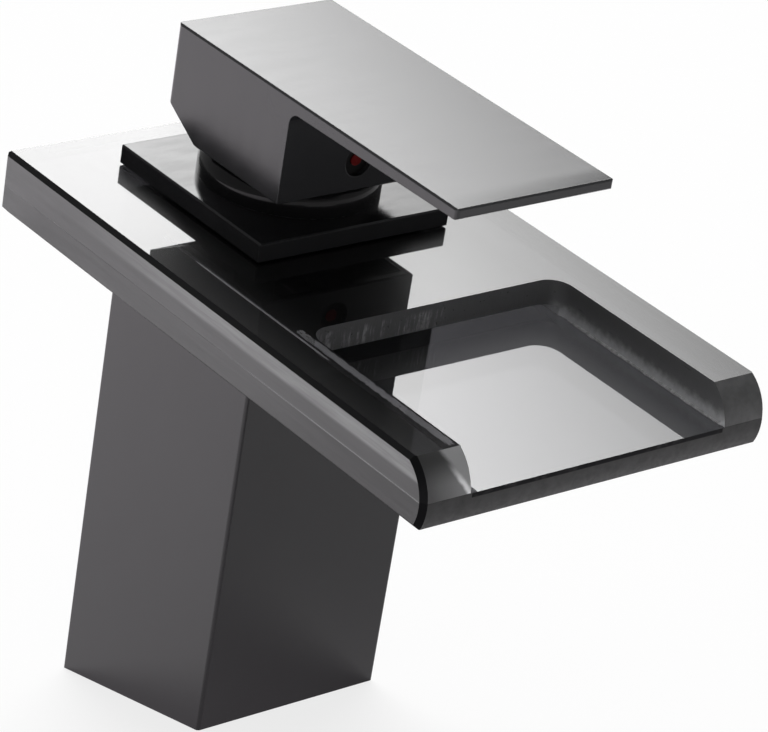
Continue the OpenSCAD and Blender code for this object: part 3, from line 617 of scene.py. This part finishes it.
simple("steel_finish", STEEL_NODES, STEEL, STEEL_RUBBED, (0.25, 0.4), metallic=1.0, grain=4.0, depth=0.008,
       run=DRAWN)
simple("rubber_finish", RUBBER_NODES, RUBBER, RUBBER_RUBBED, (0.6, 0.8), depth=0.03)
simple("white_plastic_finish", WHITE_NODES, WHITE, WHITE_RUBBED, (0.35, 0.5), depth=0.012)
simple("blue_plastic_finish", ("disc_carrier",), BLUE, BLUE_RUBBED, (0.35, 0.5), depth=0.012)
simple("ceramic_finish", CERAMIC_NODES, CERAMIC, CERAMIC_RUBBED, (0.12, 0.22), grain=8.0, depth=0.003,
       ior=1.7)
simple("black_plastic_finish", ("index_plug",), BLACK, BLACK_RUBBED, (0.3, 0.45), ior=1.3)
simple("red_plastic_finish", ("index_mark",), RED, RED_RUBBED, (0.25, 0.4), ior=1.25)

# Beads of adhesive squeezed out along the foot of the channel's walls, with chips of glass at their ends
BEAD_FRONT_Y = -107.4
BEAD_BACK_Y = -57.6
BEAD_STEPS = 110
BEAD_SIDES = 6
BEAD_R = 0.42
BEAD_UNEVEN = 0.30
BEAD_UNEVEN_MEAN = 0.3
BEAD_ROUGH = 0.1
BEAD_DENTS = 0.12
BEAD_SUNK = 0.03
SWELL_STEPS = 4
FRONT_TAPER = 6
FRONT_LEAST = 0.35
BACK_TAPER = 10
BACK_LEAST = 0.15
CHIP_COUNT = 5
CHIP_SPREAD = 0.8
CHIP_INSIDE = 0.75
CHIP_UP = 0.6
CHIP_SIZE = 0.42
CHIP_VARIES = 0.5
CHIP_POINTS = 9
BEAD_SEEDS = ((-1, 3), (1, 8))


def bead_rings(bm, side, luck):
    """The bead's outlines square to its length, from its front end to its rear end."""
    wall = CHANNEL_HALF + BEAD_SUNK
    base = BOND_Z - BEAD_SUNK
    swell = [luck.random() for _ in range(BEAD_STEPS // SWELL_STEPS + 3)]
    rings = []
    for i in range(BEAD_STEPS + 1):
        share = i / BEAD_STEPS
        y = BEAD_FRONT_Y + (BEAD_BACK_Y - BEAD_FRONT_Y) * share
        k, part = divmod(i / SWELL_STEPS, 1)
        uneven = swell[int(k)] * (1 - part) + swell[int(k) + 1] * part
        taper = min(1.0, FRONT_TAPER * share + FRONT_LEAST, BACK_TAPER * (1 - share) + BACK_LEAST)
        rough = BEAD_ROUGH * (luck.random() - 0.5)
        r = taper * (BEAD_R + BEAD_UNEVEN * (uneven - BEAD_UNEVEN_MEAN) + rough)
        ring = [bm.verts.new(leaned(side * wall, y, base))]
        for j in range(BEAD_SIDES + 1):
            a = math.pi / 2 * j / BEAD_SIDES
            out = r * (1 + BEAD_DENTS * (luck.random() - 0.5))
            x = side * (wall - out * math.cos(a))
            ring.append(bm.verts.new(leaned(x, y, base + out * math.sin(a))))
        rings.append(ring)
    return rings


def add_chip(bm, side, luck):
    """Adds a small broken piece of glass at the bead's front end."""
    x = side * (CHANNEL_HALF + CHIP_SPREAD * (luck.random() - CHIP_INSIDE))
    y = BEAD_FRONT_Y + CHIP_SPREAD * luck.random()
    z = BOND_Z + CHIP_UP * CHIP_SPREAD * luck.random()
    points = []
    for _ in range(CHIP_POINTS):
        px, py, pz = [CHIP_SIZE * luck.gauss(0, CHIP_VARIES) for _ in range(3)]
        points.append(bm.verts.new(leaned(x + px, y + py, z + abs(pz))))
    hull = bmesh.ops.convex_hull(bm, input=points)
    unused = hull["geom_interior"] + hull["geom_unused"]
    loose = {v for v in unused if isinstance(v, bmesh.types.BMVert)}
    bmesh.ops.delete(bm, geom=list(loose), context="VERTS")


def bead(side, seed):
    """One bead with its chips, on the right side (1) or the left side (-1)."""
    luck = random.Random(seed)
    bm = bmesh.new()
    rings = bead_rings(bm, side, luck)
    for a, b in zip(rings, rings[1:]):
        for j in range(len(a)):
            k = (j + 1) % len(a)
            bm.faces.new((a[j], a[k], b[k], b[j]))
    bm.faces.new(rings[0])
    bm.faces.new(reversed(rings[-1]))
    for _ in range(CHIP_COUNT):
        add_chip(bm, side, luck)
    bmesh.ops.recalc_face_normals(bm, faces=bm.faces)
    name = "bead_right" if side > 0 else "bead_left"
    mesh = bpy.data.meshes.new(name)
    bm.to_mesh(mesh)
    bm.free()
    for face in mesh.polygons:
        face.use_smooth = len(face.vertices) == 4
    piece = bpy.data.objects.new(name, mesh)
    bpy.context.scene.collection.objects.link(piece)
    return piece


# Adhesive
ADHESIVE_NOISE = (0.9, 4.0, 0.65)
ADHESIVE_TONE = (0.38, 0.7)
ADHESIVE_BLUE = 1.02
ADHESIVE_ROUGHNESS = (0.15, 0.45)
ADHESIVE_DEPTH = 0.08
SPECKS_SCALE = 1.7
SPECKS_SHARE = (0.35, 0.1)
SPECKS_TONE = 0.15
SPECKS_HEIGHT = 0.5
END_TONE = (BEAD_FRONT_Y + 2.2, BEAD_FRONT_Y + 0.6, 0.0, 0.62)


def adhesive():
    """Pale mottled adhesive, with its front end and its chips paler still."""
    f = Finish("adhesive_finish", IOR=PLAIN_IOR)
    y = f.split(f.place)[1]
    mottled = f.noise(f.place, *ADHESIVE_NOISE)
    specks = f.ramp(f.cells(f.place, SPECKS_SCALE), *SPECKS_SHARE)
    tone = f.ramp(mottled, *MIDDLE, *ADHESIVE_TONE)
    tone = f.scaled(specks, SPECKS_TONE, tone)
    tone = f.most(tone, f.ramp(y, *END_TONE))
    f.set(Base_Color=f.grey(tone, ADHESIVE_BLUE))
    f.rough(mottled, *ADHESIVE_ROUGHNESS)
    f.bump(f.plus(mottled, f.times(specks, SPECKS_HEIGHT)), ADHESIVE_DEPTH)
    return f.material


glue = adhesive()
for side, seed in BEAD_SEEDS:
    piece = bead(side, seed)
    piece.data.materials.append(glue)
    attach(piece, "tap")

# Floor: plain and pale. Its glow keeps it white for the camera and lights what mirrors it, weaker in
# front of the tap and stronger beside it, over places along the diagonal in metres
FLOOR_HALF = 4.0
FLOOR_SHADE = 0.85
FLOOR_ROUGHNESS = 0.9
SEEN_GLOW = 0.8
MIRRORED_GLOW = 0.5
FRONT_GLOW = (-0.12, 0.0, 0.4, 1.0)
SIDE_GLOW = (-0.05, 0.7, 0.0, 1.36)
PLAIN_WHITE = (1.0, 1.0, 1.0, 1.0)
MIRRORED_TINT = (1.0, 0.93, 1.0, 1.0)

floor_mesh = bpy.data.meshes.new("floor")
corners = [(FLOOR_HALF * a, FLOOR_HALF * b, 0) for a, b in ((-1, -1), (1, -1), (1, 1), (-1, 1))]
floor_mesh.from_pydata(corners, [], [(0, 1, 2, 3)])
floor = bpy.data.objects.new("floor", floor_mesh)
bpy.context.scene.collection.objects.link(floor)
floor_mat = bpy.data.materials.new("floor_finish")
floor_mat.use_nodes = True
t = Tree(floor_mat.node_tree)
paths = t.node("ShaderNodeLightPath").outputs
mirrored = t.math("ADD", paths["Is Glossy Ray"], paths["Is Transmission Ray"], clamp=True)
seen = t.times(paths["Is Camera Ray"], SEEN_GLOW)
share = t.math("ADD", seen, t.times(mirrored, MIRRORED_GLOW), clamp=True)
fx, fy = t.split(t.node("ShaderNodeTexCoord").outputs["Object"])[:2]
aside = t.minus(fy, fx)
strength = t.plus(t.ramp(aside, *FRONT_GLOW), t.ramp(aside, *SIDE_GLOW, smooth=False))
plain = t.tree.nodes["Principled BSDF"]
plain.inputs["Base Color"].default_value = (FLOOR_SHADE, FLOOR_SHADE, FLOOR_SHADE, 1.0)
plain.inputs["Roughness"].default_value = FLOOR_ROUGHNESS
glow = t.node("ShaderNodeEmission")
t.feed(glow.inputs["Color"], t.blend(mirrored, PLAIN_WHITE, MIRRORED_TINT))
both = t.node("ShaderNodeMixShader")
t.feed(both.inputs[0], share)
t.feed(glow.inputs["Strength"], t.mix(mirrored, 1.0, strength))
t.tree.links.new(plain.outputs[0], both.inputs[1])
t.tree.links.new(glow.outputs[0], both.inputs[2])
t.tree.links.new(both.outputs[0], t.tree.nodes["Material Output"].inputs["Surface"])
floor_mesh.materials.append(floor_mat)

# World: a large soft light high at the right and behind, which fades to its sides, over a dim room
PANEL_TO = Vector((0.56, 0.55, 0.62)).normalized()
PANEL_HALF_ANGLE = math.radians(30)
PANEL_SOFT = math.radians(5)
PANEL_LEVEL = 4.85
PANEL_MOST = 6.8
PANEL_ASIDE = -44.0
PANEL_ASIDE_FROM = 0.60
PANEL_UP = 46.0
PANEL_UP_FROM = 0.58
ROOM_LEVEL = 0.32

world = bpy.data.worlds.new("studio")
bpy.context.scene.world = world
world.use_nodes = True
w = Tree(world.node_tree)
ray = w.node("ShaderNodeTexCoord").outputs["Generated"]
dx, _, dz = w.split(ray)
near = w.node("ShaderNodeVectorMath", operation="DOT_PRODUCT")
w.tree.links.new(ray, near.inputs[0])
near.inputs[1].default_value = PANEL_TO
outer = math.cos(PANEL_HALF_ANGLE + PANEL_SOFT)
inner = math.cos(PANEL_HALF_ANGLE - PANEL_SOFT)
window = w.ramp(near.outputs["Value"], outer, inner)
fall = w.scaled(w.minus(dx, PANEL_ASIDE_FROM), PANEL_ASIDE, PANEL_LEVEL)
fall = w.scaled(w.minus(dz, PANEL_UP_FROM), PANEL_UP, fall)
fall = w.math("MINIMUM", w.most(fall, 0.0), PANEL_MOST)
level = w.scaled(window, fall, ROOM_LEVEL)
paths = w.node("ShaderNodeLightPath").outputs
background = w.tree.nodes["Background"]
background.inputs["Color"].default_value = PLAIN_WHITE
w.feed(background.inputs["Strength"], w.mix(paths["Is Camera Ray"], level, 1.0))
